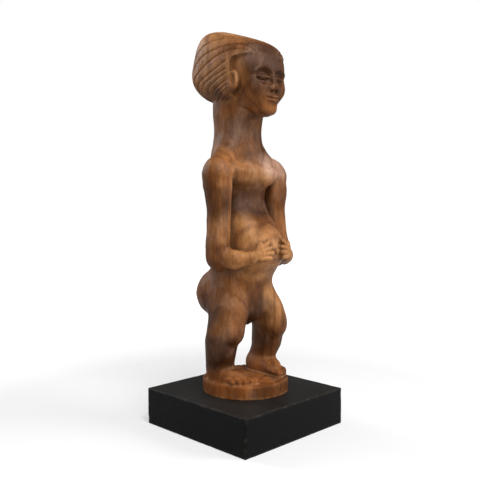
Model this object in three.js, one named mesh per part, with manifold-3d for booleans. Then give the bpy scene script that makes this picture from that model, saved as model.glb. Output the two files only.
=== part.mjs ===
// Standing male figure carved from one block of wood, with a round foot plate, on a square black plinth.
// Millimetres, +Z up. The origin is the centre of the plinth's underside. The figure faces -Y.
//
// The carving is written as a field: a function that gives, at any point, roughly how far that point is
// outside the wood (negative inside). Every part of the body is a small function of named sizes, the
// parts are joined and cut with soft edges, and a mesh is then drawn where the field is zero.
// Field coordinates: side (+ is the figure's left), ahead (+ is forward) and up (from the ground).

import * as THREE from "three";
import { mergeVertices } from "three/addons/utils/BufferGeometryUtils.js";
import Module from "manifold-3d";

const { abs, max, min, sqrt, cos, sin, exp, tanh } = Math;
const hypot = (a, b, c = 0) => sqrt(a * a + b * b + c * c);

// Small numbers that keep divisions and comparisons safe
const TINY = 1e-6;
const NEAR_AXIS = 0.05;

// Driving sizes

const PLINTH_SIDE = 138;
const PLINTH_HEIGHT = 36;
const PLINTH_EDGE = 0.9;

const FOOT_PLATE = { radius: 42.7, ahead: 1.2, thickness: 13.5, edge: 3, skirt: 4 };
const PLATE_TOP = PLINTH_HEIGHT + FOOT_PLATE.thickness;

// Sizes that change with height are lists of levels, read as smooth curves through them
function levels(names, rows) {
  return rows.map((row) => Object.fromEntries(names.map((name, n) => [name, row[n]])));
}

// Trunk and neck: half width, and reach in front of and behind the axis
const TRUNK = levels(["up", "half", "front", "back"], [
  [100, 6, 1, 6],
  [104, 17, 6, 17],
  [110, 29, 14, 31],
  [116, 34.5, 18.5, 38],
  [122, 36, 20, 41],
  [134, 35.5, 20.5, 43],
  [147, 31, 24, 38],
  [156, 29.5, 30, 35],
  [165, 29.5, 38, 33],
  [176, 29.5, 41.5, 32],
  [188, 28.5, 38.5, 31.5],
  [200, 27, 30, 31],
  [212, 25.5, 20, 31],
  [224, 25, 15.5, 31.5],
  [234, 26, 15.5, 32],
  [244, 29, 18.5, 32.5],
  [253, 31, 20.5, 33],
  [261, 30, 18.5, 33],
  [270, 27, 15.5, 33],
  [281, 23.5, 13, 33],
  [296, 22.5, 12.5, 32],
  [318, 24, 16, 33],
  [330, 22, 14, 30],
]);
const TRUNK_SQUARENESS = 2.4;

// Limbs: centre line, half width and half depth
const LIMB_SIZES = ["up", "side", "ahead", "half", "deep"];
const LIMB_SQUARENESS = 2.2;
const LEG = levels(LIMB_SIZES, [
  [52, 28.5, -3, 10, 11],
  [64, 29.5, -3.6, 10.3, 14],
  [75, 31.5, -0.2, 11.8, 15.2],
  [87, 32, 1.5, 13, 16.8],
  [100, 30.5, 4, 14.2, 18.3],
  [113, 26.5, 3.5, 16.5, 21],
  [127, 21, -2, 17, 23.5],
  [143, 16, -3, 11, 16],
  [152, 13, -3, 5, 8],
]);
const UPPER_ARM = levels(LIMB_SIZES, [
  [157, 41.5, 6.5, 3, 3],
  [161, 42, 6.5, 7.5, 7.5],
  [169, 42.5, 6.5, 10.5, 11],
  [181, 42, 6, 11, 11.5],
  [196, 40, 4.5, 10.5, 11.5],
  [214, 38.5, 3.5, 10.5, 12],
  [231, 39, 3, 12, 13.5],
  [245, 39.5, 2, 13.5, 15],
  [255, 37.5, 1, 12, 13.5],
  [262, 35, 0.5, 8, 9],
  [266, 34, 0, 3, 4],
]);

// Round bars: at each end the place (side, ahead, up) and the radius
const YOKE = [[13, -8, 275, 10], [35, 0, 254, 12.5]];
const FOREARM = [[42.5, 7, 170.5, 10], [35, 21, 169, 8.4], [26, 31.5, 169.5, 6.2]];
const PALM = [[24.5, 33.3, 170.8, 5.6], [17.5, 37.8, 174.5, 5.4]];
const THUMB = [[22, 38, 174.5, 2.8], [19.5, 39.2, 183.5, 2.3]];
const NOSE = [[0, 35, 346, 2], [0, 39.4, 330.8, 3.5]];
const SPINE_GROOVE = [[0, -38, 292, 3.5], [0, -37.5, 160, 3.5]];
const CLEFT = [[0, -40, 154, 1.5], [0, -45, 138, 4], [0, -44, 121, 4.5], [0, -33, 106, 5]];

// Fingers lie on the belly, fanned out from the knuckles; the spread is how far the knuckles follow the tips
const FINGER_TIPS = [[9.5, 42.2, 185.2], [7.2, 43.2, 180], [6.8, 43.4, 174.8], [9, 42.4, 169.8]];
const FINGER = { middle: 177, spread: 0.6, root: 2.7, tip: 2.2 };
const KNUCKLE = [18.5, 40, 174.5];

// Toes lie side by side and fall back from the first; each has a root and a tip
const TOES = { count: 5, first: 17.8, pitch: 4.65, reach: 34.5, fallBack: 1, curve: 0.5, long: 13 };
const TOE = { rootUp: 54, root: 3, tipUp: 52.2, tip: 3.2, narrow: 0.22 };
const FOOT_FRONT = { ahead: 28.5, side: 17.8, slant: 0.62 };

// Rounded masses: the centre, the reach each way, and for boxy ones the squareness and forward tilt
const BUTTOCK = { at: [17, -26.5, 132], reach: [17.5, 18.5, 21] };
const KNEE = { at: [30.5, 17.5, 99], reach: [10, 5, 10] };
const FOOT = { at: [27.5, 5, 53.5], reach: [12, 26.5, 10], squareness: 2.8, tilt: 0.14 };
const CHEST = { at: [13.2, 9, 249.5], reach: [15.5, 14.6, 10.5], squareness: 2.6, tilt: 0.08 };
const SHOULDER_BLADE = { at: [16, -27, 243], reach: [12, 6.5, 14] };
const NAVEL = { at: [0, 41.5, 176], reach: [3.2, 3.2, 3.2] };
const GROIN = { at: [0, 11.5, 115], reach: [9, 7.5, 9] };
const FACE = { at: [0, 12, 341], reach: [27, 25.4, 33], squareness: 2.9, tilt: 0 };
const BEARD = { at: [0, 27, 311.5], reach: [11, 8.6, 7.2], squareness: 2.8, tilt: -0.2 };
const CHEEK = { at: [15.5, 28, 330], reach: [8, 6.5, 7.5] };
const NOSE_WING = { at: [4.3, 37, 329.6], reach: [3.3, 4.2, 3] };
const CAP = { at: [0, -10.5, 352.5], reach: [32.5, 44.3, 33.5], squareness: 3.4, tilt: 0.33 };
const BUN = { at: [0, -33, 343], reach: [26, 19, 21] };
const EAR = { at: [28.4, 12.6, 336], reach: [3.9, 6.7, 10.4] };
const EAR_HOLLOW = { at: [32.6, 13.8, 337.6], reach: [3.5, 4.1, 7] };

// The face is widest above and narrows to the jaw
const FACE_TAPER = { middle: 0.95, change: 0.14, up: 334, over: 16 };

// Low features of the face: how far they stand out, and their half width and height
const SOCKET = { side: 10.9, up: 340, half: 9.9, above: 7.8, below: 9.5, depth: 3.1, slope: 0.5 };
const BROW = { stand: 0.9, ring: 1.12, width: 0.13, from: 340.5, fade: 4 };
const LID = { side: 11.1, up: 339.2, half: 7.3, above: 3.7, below: 2.9, stand: 2.5 };
const MUZZLE = { up: 319.8, half: 10.5, tall: 7.8, stand: 3.4 };
const MOUTH = { up: 319.7, smile: 0.01, fullness: 1.6 };
const UPPER_LIP = { half: 9.8, rise: 1.7, tall: 2.2, stand: 1.9 };
const LOWER_LIP = { half: 8.6, rise: -1.9, tall: 2.4, stand: 2.1 };
const FACE_FRONT = { from: 14, fade: 10 };

// The coiffure frames the face: it ends above the brow, in front of the ears and at the nape,
// and its underside climbs towards the back
const HAIRLINE = { brow: 359, temple: 10, corner: 10, nape: 316, climbFrom: 30, climb: 0.3 };

// How softly the forms flow into each other
const SOFT = {
  yoke: 8, elbow: 4, palm: 3, hand: 2, finger: 1, thumb: 1.5,
  foot: 5, footFront: 7, toe: 0.5, toes: 1.6, cleft: 5, buttock: 7, knee: 7,
  chest: 5, blade: 8, spine: 5, navel: 1.5, groin: 7,
  beard: 4, cheek: 7, wing: 2, nose: 2.5, bun: 8, hairline: 2, nape: 5, earHollow: 1, coiffure: 1.2, ear: 1,
  arm: 2.5, leg: 6, head: 4, plate: 2,
};
// The arm stays clear of the trunk below the shoulder and flows into it above
const SHOULDER = { from: 236, over: 26, extra: 7 };

const CELL = 2.1;
const FIELD_LOW = [-61.7, -56.3, 27.6];
const FIELD_HIGH = [61.7, 62.3, 396];
const FIGURE_TRIANGLES = 9300;

// Soft joins and cuts of two distances; softness is the width over which they flow together

function join(a, b, softness) {
  const near = max(softness - abs(a - b), 0);
  return min(a, b) - (near * near) / (4 * softness);
}

function cut(a, b, softness) {
  return -join(-a, b, softness);
}

// From 0 to 1 with a gentle start and end
function ease(value) {
  const t = min(1, max(0, value));
  return t * t * (3 - 2 * t);
}

// Distances to simple forms, for a point (side, ahead, up)

function ball([side, ahead, up], { at, reach }) {
  const s = side - at[0];
  const a = ahead - at[1];
  const u = up - at[2];
  const scaled = hypot(s / reach[0], a / reach[1], u / reach[2]);
  const slope = hypot(s / reach[0] ** 2, a / reach[1] ** 2, u / reach[2] ** 2) + TINY;
  return (scaled * (scaled - 1)) / slope;
}

function block([side, ahead, up], { at, reach, squareness, tilt }) {
  const forward = ahead - at[1];
  const above = up - at[2];
  const s = abs(side - at[0]) / reach[0];
  const a = abs(forward * cos(tilt) - above * sin(tilt)) / reach[1];
  const u = abs(forward * sin(tilt) + above * cos(tilt)) / reach[2];
  const scaled = (s ** squareness + a ** squareness + u ** squareness) ** (1 / squareness) + TINY;
  const power = squareness - 1;
  const slope = hypot(s ** power / reach[0], a ** power / reach[1], u ** power / reach[2]) / scaled ** power;
  return (scaled - 1) / (slope + TINY);
}

function rod([side, ahead, up], [from, to]) {
  const s = to[0] - from[0];
  const a = to[1] - from[1];
  const u = to[2] - from[2];
  const along = (side - from[0]) * s + (ahead - from[1]) * a + (up - from[2]) * u;
  const t = min(1, max(0, along / (s * s + a * a + u * u)));
  const gap = hypot(side - from[0] - s * t, ahead - from[1] - a * t, up - from[2] - u * t);
  return gap - (from[3] + (to[3] - from[3]) * t);
}

function chain(point, ends, softness) {
  const rods = ends.slice(1).map((end, n) => rod(point, [ends[n], end]));
  return rods.reduce((total, next) => join(total, next, softness));
}

function level(list, up, size) {
  const last = list.length - 1;
  if (up <= list[0].up) return list[0][size];
  if (up >= list[last].up) return list[last][size];
  let i = 0;
  while (list[i + 1].up < up) i += 1;
  const before = list[max(i - 1, 0)];
  const low = list[i];
  const high = list[i + 1];
  const after = list[min(i + 2, last)];
  const span = high.up - low.up;
  const t = (up - low.up) / span;
  const slopeLow = ((high[size] - before[size]) / (high.up - before.up)) * span;
  const slopeHigh = ((after[size] - low[size]) / (after.up - low.up)) * span;
  const rise = high[size] - low[size];
  const bend = slopeLow + slopeHigh - 2 * rise;
  return low[size] + t * (slopeLow + t * (rise - slopeLow - bend + bend * t));
}

// An upright form whose section is a rounded oval that changes with height
function column([side, ahead, up], list, squareness, half, middle, deep) {
  const s = abs(side) / half;
  const a = abs(ahead - middle) / deep;
  const scaled = (s ** squareness + a ** squareness) ** (1 / squareness) + TINY;
  const reach = hypot(side, ahead - middle);
  const wall = scaled < NEAR_AXIS ? -min(half, deep) : reach - reach / scaled;
  return max(wall, up - list[list.length - 1].up, list[0].up - up);
}

// The body, part by part; outer points have their side made positive, for what is the same left and right

function trunk(point, outer) {
  const [half, front, back] = ["half", "front", "back"].map((size) => level(TRUNK, point[2], size));
  const plain = column(point, TRUNK, TRUNK_SQUARENESS, half, (front - back) / 2, (front + back) / 2);
  const chested = join(plain, block(outer, CHEST), SOFT.chest);
  const bladed = join(chested, ball(outer, SHOULDER_BLADE), SOFT.blade);
  const grooved = cut(bladed, rod(point, SPINE_GROOVE), SOFT.spine);
  return join(join(grooved, ball(point, NAVEL), SOFT.navel), ball(point, GROIN), SOFT.groin);
}

function limb([side, ahead, up], list) {
  const [centre, middle, half, deep] = ["side", "ahead", "half", "deep"].map((size) => level(list, up, size));
  return column([side - centre, ahead, up], list, LIMB_SQUARENESS, half, middle, deep);
}

function hand(outer) {
  const fingers = FINGER_TIPS.map((tip) => {
    const knuckleUp = KNUCKLE[2] + (tip[2] - FINGER.middle) * FINGER.spread;
    return rod(outer, [[KNUCKLE[0], KNUCKLE[1], knuckleUp, FINGER.root], [...tip, FINGER.tip]]);
  });
  const palm = fingers.reduce((total, finger) => join(total, finger, SOFT.finger), rod(outer, PALM));
  return join(palm, rod(outer, THUMB), SOFT.thumb);
}

function arm(outer) {
  const upper = join(limb(outer, UPPER_ARM), rod(outer, YOKE), SOFT.yoke);
  return join(join(upper, chain(outer, FOREARM, SOFT.elbow), SOFT.elbow), hand(outer), SOFT.hand);
}

function toes(outer) {
  const rods = Array.from({ length: TOES.count }, (_, n) => {
    const side = TOES.first + TOES.pitch * n;
    const tip = TOE.tip - TOE.narrow * n;
    const reach = TOES.reach - TOES.fallBack * n - TOES.curve * n * n - tip;
    return rod(outer, [[side, reach - TOES.long, TOE.rootUp, TOE.root], [side, reach, TOE.tipUp, tip]]);
  });
  return rods.reduce((total, toe) => join(total, toe, SOFT.toe));
}

// The foot without its front, which slants back from the first toe to the last
function foot(outer) {
  const [side, ahead] = outer;
  const past = ahead - FOOT_FRONT.ahead + FOOT_FRONT.slant * max(side - FOOT_FRONT.side, 0);
  return cut(block(outer, FOOT), -past, SOFT.footFront);
}

function leg(outer) {
  const lower = join(join(limb(outer, LEG), foot(outer), SOFT.foot), toes(outer), SOFT.toes);
  return join(join(lower, ball(outer, BUTTOCK), SOFT.buttock), ball(outer, KNEE), SOFT.knee);
}

function footPlate([side, ahead, up]) {
  const { radius, edge, skirt } = FOOT_PLATE;
  const out = hypot(side, ahead - FOOT_PLATE.ahead) - (radius - edge);
  const above = up - (PLATE_TOP - edge);
  const rim = hypot(max(out, 0), max(above, 0)) + min(max(out, above), 0) - edge;
  return max(rim, PLINTH_HEIGHT - skirt - up);
}

// Sockets, brow arches, lids, muzzle and lips, as a height above the plain oval of the face
function features([side, ahead, up]) {
  const outer = abs(side);
  const socketTall = up > SOCKET.up ? SOCKET.above : SOCKET.below;
  const ring = hypot((outer - SOCKET.side) / SOCKET.half, (up - SOCKET.up) / socketTall);
  const socket = SOCKET.depth * ease((1 - ring) / SOCKET.slope);
  const onArch = exp(-(((ring - BROW.ring) / BROW.width) ** 2));
  const brow = BROW.stand * onArch * ease((up - BROW.from) / BROW.fade);
  const corner = 1 - ((outer - LID.side) / LID.half) ** 2;
  const open = max((up > LID.up ? LID.above : LID.below) * corner, TINY);
  const bulge = max(1 - abs(up - LID.up) / open, 0);
  const lid = LID.stand * bulge * (2 - bulge);
  const muzzle = MUZZLE.stand * exp(-((side / MUZZLE.half) ** 2) - ((up - MUZZLE.up) / MUZZLE.tall) ** 2);
  const parting = MOUTH.up + MOUTH.smile * side * side;
  const lips = [UPPER_LIP, LOWER_LIP].map(({ half, rise, tall, stand }) => {
    const edge = hypot(side / half, (up - parting - rise) / tall);
    return stand * ease(MOUTH.fullness * (1 - edge));
  });
  const height = brow + lid + muzzle + lips[0] + lips[1] - socket;
  return ease((ahead - FACE_FRONT.from) / FACE_FRONT.fade) * height;
}

function face(point, outer) {
  const [side, ahead, up] = point;
  const width = FACE_TAPER.middle + FACE_TAPER.change * tanh((up - FACE_TAPER.up) / FACE_TAPER.over);
  const jaw = join(block([side / width, ahead, up], FACE), block(point, BEARD), SOFT.beard);
  const shaped = join(jaw, ball(outer, CHEEK), SOFT.cheek) - features(point);
  return join(shaped, join(rod(point, NOSE), ball(outer, NOSE_WING), SOFT.wing), SOFT.nose);
}

function coiffure(point) {
  const [, ahead, up] = point;
  const front = join(HAIRLINE.brow - up, ahead - HAIRLINE.temple, HAIRLINE.corner);
  const under = up - HAIRLINE.nape - HAIRLINE.climb * max(-ahead - HAIRLINE.climbFrom, 0);
  const mass = join(block(point, CAP), ball(point, BUN), SOFT.bun);
  return cut(cut(mass, -front, SOFT.hairline), under, SOFT.nape);
}

function carving(side, ahead, up) {
  const point = [side, ahead, up];
  const outer = [abs(side), ahead, up];
  const ear = cut(ball(outer, EAR), ball(outer, EAR_HOLLOW), SOFT.earHollow);
  const head = join(join(face(point, outer), coiffure(point), SOFT.coiffure), ear, SOFT.ear);
  const armJoin = SOFT.arm + SHOULDER.extra * ease((up - SHOULDER.from) / SHOULDER.over);
  const legged = join(join(trunk(point, outer), arm(outer), armJoin), leg(outer), SOFT.leg);
  const body = cut(legged, chain(point, CLEFT, SOFT.cleft), SOFT.cleft);
  return join(join(body, head, SOFT.head), footPlate(point), SOFT.plate);
}

// Grid values are kept a little off zero, so that no corner of the mesh falls on a grid point
const KEEP_OFF = 0.05;

// A closed mesh of the field's zero surface: each cell of a grid is split into six tetrahedra
function drawSurface(field, low, high, cell) {
  const counts = [0, 1, 2].map((k) => Math.ceil((high[k] - low[k]) / cell) + 1);
  const [nx, ny, nz] = counts;
  const place = (i, j, k) => [low[0] + i * cell, low[1] + j * cell, low[2] + k * cell];
  const values = new Float64Array(nx * ny * nz);
  const index = (i, j, k) => (i * ny + j) * nz + k;
  for (let i = 0; i < nx; i += 1)
    for (let j = 0; j < ny; j += 1)
      for (let k = 0; k < nz; k += 1) {
        const [x, y, z] = place(i, j, k);
        const value = field(x, -y, z);
        values[index(i, j, k)] = value < 0 ? min(value, -KEEP_OFF * cell) : max(value, KEEP_OFF * cell);
      }
  const points = [];
  const onEdge = new Map();
  const total = values.length;
  const spot = (id) => place(Math.floor(id / (ny * nz)), Math.floor(id / nz) % ny, id % nz);
  const crossing = (a, b) => {
    const key = a < b ? a * total + b : b * total + a;
    if (!onEdge.has(key)) {
      const t = values[a] / (values[a] - values[b]);
      const p = spot(a);
      const q = spot(b);
      onEdge.set(key, points.length);
      points.push(p.map((v, n) => v + t * (q[n] - v)));
    }
    return onEdge.get(key);
  };
  const corners = [[1, 0, 0], [0, 1, 0], [0, 0, 1]];
  const orders = [[0, 1, 2, 1], [1, 2, 0, 1], [2, 0, 1, 1], [1, 0, 2, -1], [0, 2, 1, -1], [2, 1, 0, -1]];
  const faces = [];
  const split = (ids) => {
    const inside = ids.filter((id) => values[id] < 0);
    const outside = ids.filter((id) => values[id] >= 0);
    if (inside.length === 0 || outside.length === 0) return;
    const sorted = inside.length === 3 ? [...outside, ...inside] : [...inside, ...outside];
    let swaps = 0;
    for (let a = 0; a < 4; a += 1)
      for (let b = a + 1; b < 4; b += 1) if (ids.indexOf(sorted[a]) > ids.indexOf(sorted[b])) swaps += 1;
    if (swaps % 2) sorted.push(...sorted.splice(2, 2).reverse());
    const [a, b, c, d] = sorted;
    if (inside.length === 1) faces.push([crossing(a, b), crossing(a, c), crossing(a, d)]);
    if (inside.length === 3) faces.push([crossing(a, b), crossing(a, d), crossing(a, c)]);
    if (inside.length === 2) {
      const [ac, ad, bd, bc] = [crossing(a, c), crossing(a, d), crossing(b, d), crossing(b, c)];
      faces.push([ac, ad, bd], [ac, bd, bc]);
    }
  };
  for (let i = 0; i < nx - 1; i += 1)
    for (let j = 0; j < ny - 1; j += 1)
      for (let k = 0; k < nz - 1; k += 1) {
        const start = values[index(i, j, k)] < 0;
        let mixed = false;
        for (let n = 1; n < 8 && !mixed; n += 1)
          mixed = values[index(i + (n & 1), j + ((n >> 1) & 1), k + (n >> 2))] < 0 !== start;
        if (!mixed) continue;
        for (const order of orders) {
          const at = [i, j, k];
          const ids = [index(...at)];
          for (const axis of order.slice(0, 3)) {
            corners[axis].forEach((step, n) => (at[n] += step));
            ids.push(index(...at));
          }
          split(order[3] > 0 ? ids : [ids[0], ids[1], ids[3], ids[2]]);
        }
      }
  return { points, faces };
}

// Limits on merging edges: the doubled area under which a triangle is too small to have a facing, the
// least fullness of a triangle, the least cosine between its facings before and after, how far from its
// edge a merged point may go, when a best point is well defined, and the small cost of a long edge
const CRUMB = 0.3;
const SLIVER = 0.06;
const LEAST_TURN = 0.2;
const FARTHEST = 2;
const WELL_DEFINED = 1e-6;
const LENGTH_COST = 1e-4;

// Fewer triangles where the surface is nearly flat: the cheapest edge is merged again and again, where
// the cost is the squared distance that the merged point moves from the planes around it
function thinOut({ points, faces }, wanted) {
  const around = points.map(() => new Set());
  faces.forEach((face, f) => face.forEach((p) => around[p].add(f)));
  const subtract = (a, b) => [a[0] - b[0], a[1] - b[1], a[2] - b[2]];
  const cross = (a, b) => [a[1] * b[2] - a[2] * b[1], a[2] * b[0] - a[0] * b[2], a[0] * b[1] - a[1] * b[0]];
  const dot = (a, b) => a[0] * b[0] + a[1] * b[1] + a[2] * b[2];
  const normal = (p, q, r) => cross(subtract(q, p), subtract(r, p));
  // Ten numbers of a symmetric form: squared distance to a set of planes, weighted by area
  const planes = points.map(() => new Float64Array(10));
  for (const face of faces) {
    const n = normal(...face.map((p) => points[p]));
    const size = hypot(...n);
    if (size < TINY * TINY) continue;
    const [a, b, c] = n.map((v) => v / size);
    const d = -dot([a, b, c], points[face[0]]);
    const form = [a * a, a * b, a * c, a * d, b * b, b * c, b * d, c * c, c * d, d * d];
    for (const p of face) form.forEach((v, n2) => (planes[p][n2] += v * size));
  }
  const error = (q, [x, y, z]) =>
    q[0] * x * x + q[4] * y * y + q[7] * z * z + q[9] +
    2 * (q[1] * x * y + q[2] * x * z + q[5] * y * z + q[3] * x + q[6] * y + q[8] * z);
  const best = (q, p, r) => {
    const middle = p.map((v, n) => (v + r[n]) / 2);
    const trials = [p, r, middle];
    const rows = [[q[0], q[1], q[2]], [q[1], q[4], q[5]], [q[2], q[5], q[7]]];
    const det = dot(rows[0], cross(rows[1], rows[2]));
    if (abs(det) > WELL_DEFINED * (q[0] + q[4] + q[7]) ** 3) {
      const right = [-q[3], -q[6], -q[8]];
      const solved = [0, 1, 2].map((n) => {
        const m = rows.map((row, i) => row.map((v, j) => (j === n ? right[i] : v)));
        return dot(m[0], cross(m[1], m[2])) / det;
      });
      if (hypot(...subtract(solved, middle)) < FARTHEST * hypot(...subtract(p, r))) trials.push(solved);
    }
    return trials.map((t) => [error(q, t), t]).sort((a, b) => a[0] - b[0])[0];
  };
  const heap = [];
  const swap = (i, j) => ([heap[i], heap[j]] = [heap[j], heap[i]]);
  const push = (item) => {
    let i = heap.push(item) - 1;
    while (i > 0 && heap[i].cost < heap[(i - 1) >> 1].cost) {
      swap(i, (i - 1) >> 1);
      i = (i - 1) >> 1;
    }
  };
  const pop = () => {
    swap(0, heap.length - 1);
    const item = heap.pop();
    for (let i = 0; ; ) {
      let low = i;
      for (const child of [2 * i + 1, 2 * i + 2])
        if (child < heap.length && heap[child].cost < heap[low].cost) low = child;
      if (low === i) return item;
      swap(i, low);
      i = low;
    }
  };
  const age = points.map(() => 0);
  const consider = (a, b) => {
    const q = planes[a].map((v, n) => v + planes[b][n]);
    const [cost, at] = best(q, points[a], points[b]);
    const length = hypot(...subtract(points[a], points[b]));
    push({ cost: cost + LENGTH_COST * length * length, at, a, b, ages: [age[a], age[b]] });
  };
  const neighbours = (p) => new Set([...around[p]].flatMap((f) => faces[f]).filter((v) => v !== p));
  // A triangle's doubled area over its longest side squared: near zero for a sliver
  const fullness = (corners) => {
    const longest = max(...corners.map((v, n) => hypot(...subtract(v, corners[(n + 1) % 3]))));
    return hypot(...normal(...corners)) / (longest * longest);
  };
  const spoils = (p, other, at) => {
    const ring = [...around[p]].map((f) => faces[f].map((v) => points[v]));
    const facing = ring.map((corners) => normal(...corners)).reduce((sum, n) => sum.map((v, k) => v + n[k]));
    return [...around[p]].some((f) => {
      if (faces[f].includes(other)) return false;
      const before = faces[f].map((v) => points[v]);
      const after = faces[f].map((v) => (v === p ? at : points[v]));
      const [n0, n1] = [normal(...before), normal(...after)];
      if (hypot(...n0) < CRUMB) return dot(facing, n1) < 0;
      const [full0, full1] = [fullness(before), fullness(after)];
      if (full1 < SLIVER && full1 < full0) return true;
      return dot(n0, n1) < LEAST_TURN * hypot(...n0) * hypot(...n1);
    });
  };
  faces.forEach((face) => face.forEach((p, n) => p < face[(n + 1) % 3] && consider(p, face[(n + 1) % 3])));
  let left = faces.length;
  while (left > wanted && heap.length) {
    const { at, a, b, ages } = pop();
    if (age[a] !== ages[0] || age[b] !== ages[1]) continue;
    const shared = [...neighbours(a)].filter((v) => neighbours(b).has(v));
    if (shared.length !== 2 || spoils(a, b, at) || spoils(b, a, at)) continue;
    for (const f of [...around[b]]) {
      if (faces[f].includes(a)) {
        faces[f].forEach((p) => around[p].delete(f));
        faces[f] = null;
        left -= 1;
      } else {
        faces[f] = faces[f].map((p) => (p === b ? a : p));
        around[a].add(f);
      }
    }
    points[a] = at;
    planes[b].forEach((v, n) => (planes[a][n] += v));
    age[a] += 1;
    age[b] = -1;
    for (const p of neighbours(a)) consider(a, p);
  }
  return { points, faces: faces.filter((face) => face) };
}

// Solids for the joins and cuts

const wasm = await Module();
wasm.setup();

function toSolid(geometry) {
  geometry.deleteAttribute("normal");
  geometry.deleteAttribute("uv");
  const merged = mergeVertices(geometry);
  const mesh = new wasm.Mesh({
    numProp: 3,
    vertProperties: merged.attributes.position.array,
    triVerts: merged.index.array,
  });
  return new wasm.Manifold(mesh);
}

function toGeometry(solid) {
  const mesh = solid.getMesh();
  const geometry = new THREE.BufferGeometry();
  geometry.setAttribute("position", new THREE.BufferAttribute(mesh.vertProperties, 3));
  geometry.setIndex(new THREE.BufferAttribute(mesh.triVerts, 1));
  geometry.computeVertexNormals();
  return geometry;
}

// Corners this close to the plinth's top are set exactly on it
const ON_PLINTH = 1e-3;

function figureGeometry() {
  const surface = thinOut(drawSurface(carving, FIELD_LOW, FIELD_HIGH, CELL), FIGURE_TRIANGLES);
  const rough = new THREE.BufferGeometry();
  rough.setAttribute("position", new THREE.Float32BufferAttribute(surface.points.flat(), 3));
  rough.setIndex(surface.faces.flat());
  const below = new THREE.BoxGeometry(PLINTH_SIDE, PLINTH_SIDE, PLINTH_HEIGHT);
  below.translate(0, 0, PLINTH_HEIGHT / 2);
  const geometry = toGeometry(toSolid(rough).subtract(toSolid(below)));
  const place = geometry.attributes.position;
  for (let i = 0; i < place.count; i += 1)
    if (abs(place.getZ(i) - PLINTH_HEIGHT) < ON_PLINTH) place.setZ(i, PLINTH_HEIGHT);
  return geometry;
}

function plinthGeometry() {
  const half = PLINTH_SIDE / 2 - PLINTH_EDGE;
  const corners = [[-half, -half], [half, -half], [half, half], [-half, half]];
  const outline = new THREE.Shape(corners.map(([x, y]) => new THREE.Vector2(x, y)));
  return new THREE.ExtrudeGeometry(outline, {
    depth: PLINTH_HEIGHT - 2 * PLINTH_EDGE,
    bevelThickness: PLINTH_EDGE,
    bevelSize: PLINTH_EDGE,
    bevelSegments: 2,
  }).translate(0, 0, PLINTH_EDGE);
}

function piece(name, geometry, look) {
  const mesh = new THREE.Mesh(geometry, new THREE.MeshStandardMaterial(look));
  mesh.name = name;
  return mesh;
}

const part = new THREE.Group();
part.add(piece("figure", figureGeometry(), { color: 0x8a5a3a, roughness: 0.5, metalness: 0 }));
part.add(piece("plinth", plinthGeometry(), { color: 0x1c1c1e, roughness: 0.4, metalness: 0 }));
export default part;
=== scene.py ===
"""Standing male figure carved from one block of wood, with a round foot plate, on a square black plinth.

The figure is sculpted as a field: a function that gives, at any point, roughly how far that point is
outside the wood, negative inside. A fine mesh is drawn where the field is zero, and the low relief of the
carving is pressed into it. Sculpting sizes are in millimetres, as side (+ is the figure's left), ahead
(+ is forward) and up from the ground. Blender's x is side, y is minus ahead and z is up, in metres.
"""

import math

import bmesh
import bpy
import numpy as np
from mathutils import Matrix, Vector


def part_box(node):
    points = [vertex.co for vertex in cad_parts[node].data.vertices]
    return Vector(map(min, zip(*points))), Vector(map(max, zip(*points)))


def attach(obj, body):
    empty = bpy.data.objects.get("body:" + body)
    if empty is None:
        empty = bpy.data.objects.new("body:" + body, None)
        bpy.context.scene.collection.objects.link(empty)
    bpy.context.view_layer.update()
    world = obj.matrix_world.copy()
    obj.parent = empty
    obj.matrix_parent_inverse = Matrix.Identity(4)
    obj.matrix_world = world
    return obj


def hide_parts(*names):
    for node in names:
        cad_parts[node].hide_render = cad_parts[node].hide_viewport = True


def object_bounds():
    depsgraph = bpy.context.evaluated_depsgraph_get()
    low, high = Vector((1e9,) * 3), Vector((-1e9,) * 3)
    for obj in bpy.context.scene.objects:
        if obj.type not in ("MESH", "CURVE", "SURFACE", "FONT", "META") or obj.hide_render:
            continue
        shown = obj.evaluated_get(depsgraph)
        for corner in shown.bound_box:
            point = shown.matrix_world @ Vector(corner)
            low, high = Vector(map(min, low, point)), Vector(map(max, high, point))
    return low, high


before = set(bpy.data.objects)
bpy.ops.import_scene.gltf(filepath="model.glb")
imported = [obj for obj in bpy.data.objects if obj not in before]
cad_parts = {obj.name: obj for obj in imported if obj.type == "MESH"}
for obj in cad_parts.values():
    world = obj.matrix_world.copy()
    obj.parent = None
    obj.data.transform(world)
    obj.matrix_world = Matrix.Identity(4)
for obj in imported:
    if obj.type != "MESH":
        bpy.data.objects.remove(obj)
cad_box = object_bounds()

MM = 0.001

# Camera: its angle in degrees, and in millimetres how far from the axis, how high, the height it aims at,
# how far to the left of the object it stands and aims, its lens and sensor, and the nearest it sees
CAMERA = {
    "azimuth": -45.0, "away": 650.0, "up": 221.0, "aim_up": 185.0, "left": 4.75,
    "lens": 49.1, "sensor": 36, "nearest": 10,
}


def levels(names, rows):
    """Sizes that change with height, one array per name; the first is the height."""
    return dict(zip(names, np.array(rows, float).T))


PLINTH_HEIGHT = 36.0
FOOT_PLATE = {"radius": 42.7, "ahead": 1.2, "top": 49.5, "edge": 3.0}

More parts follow.
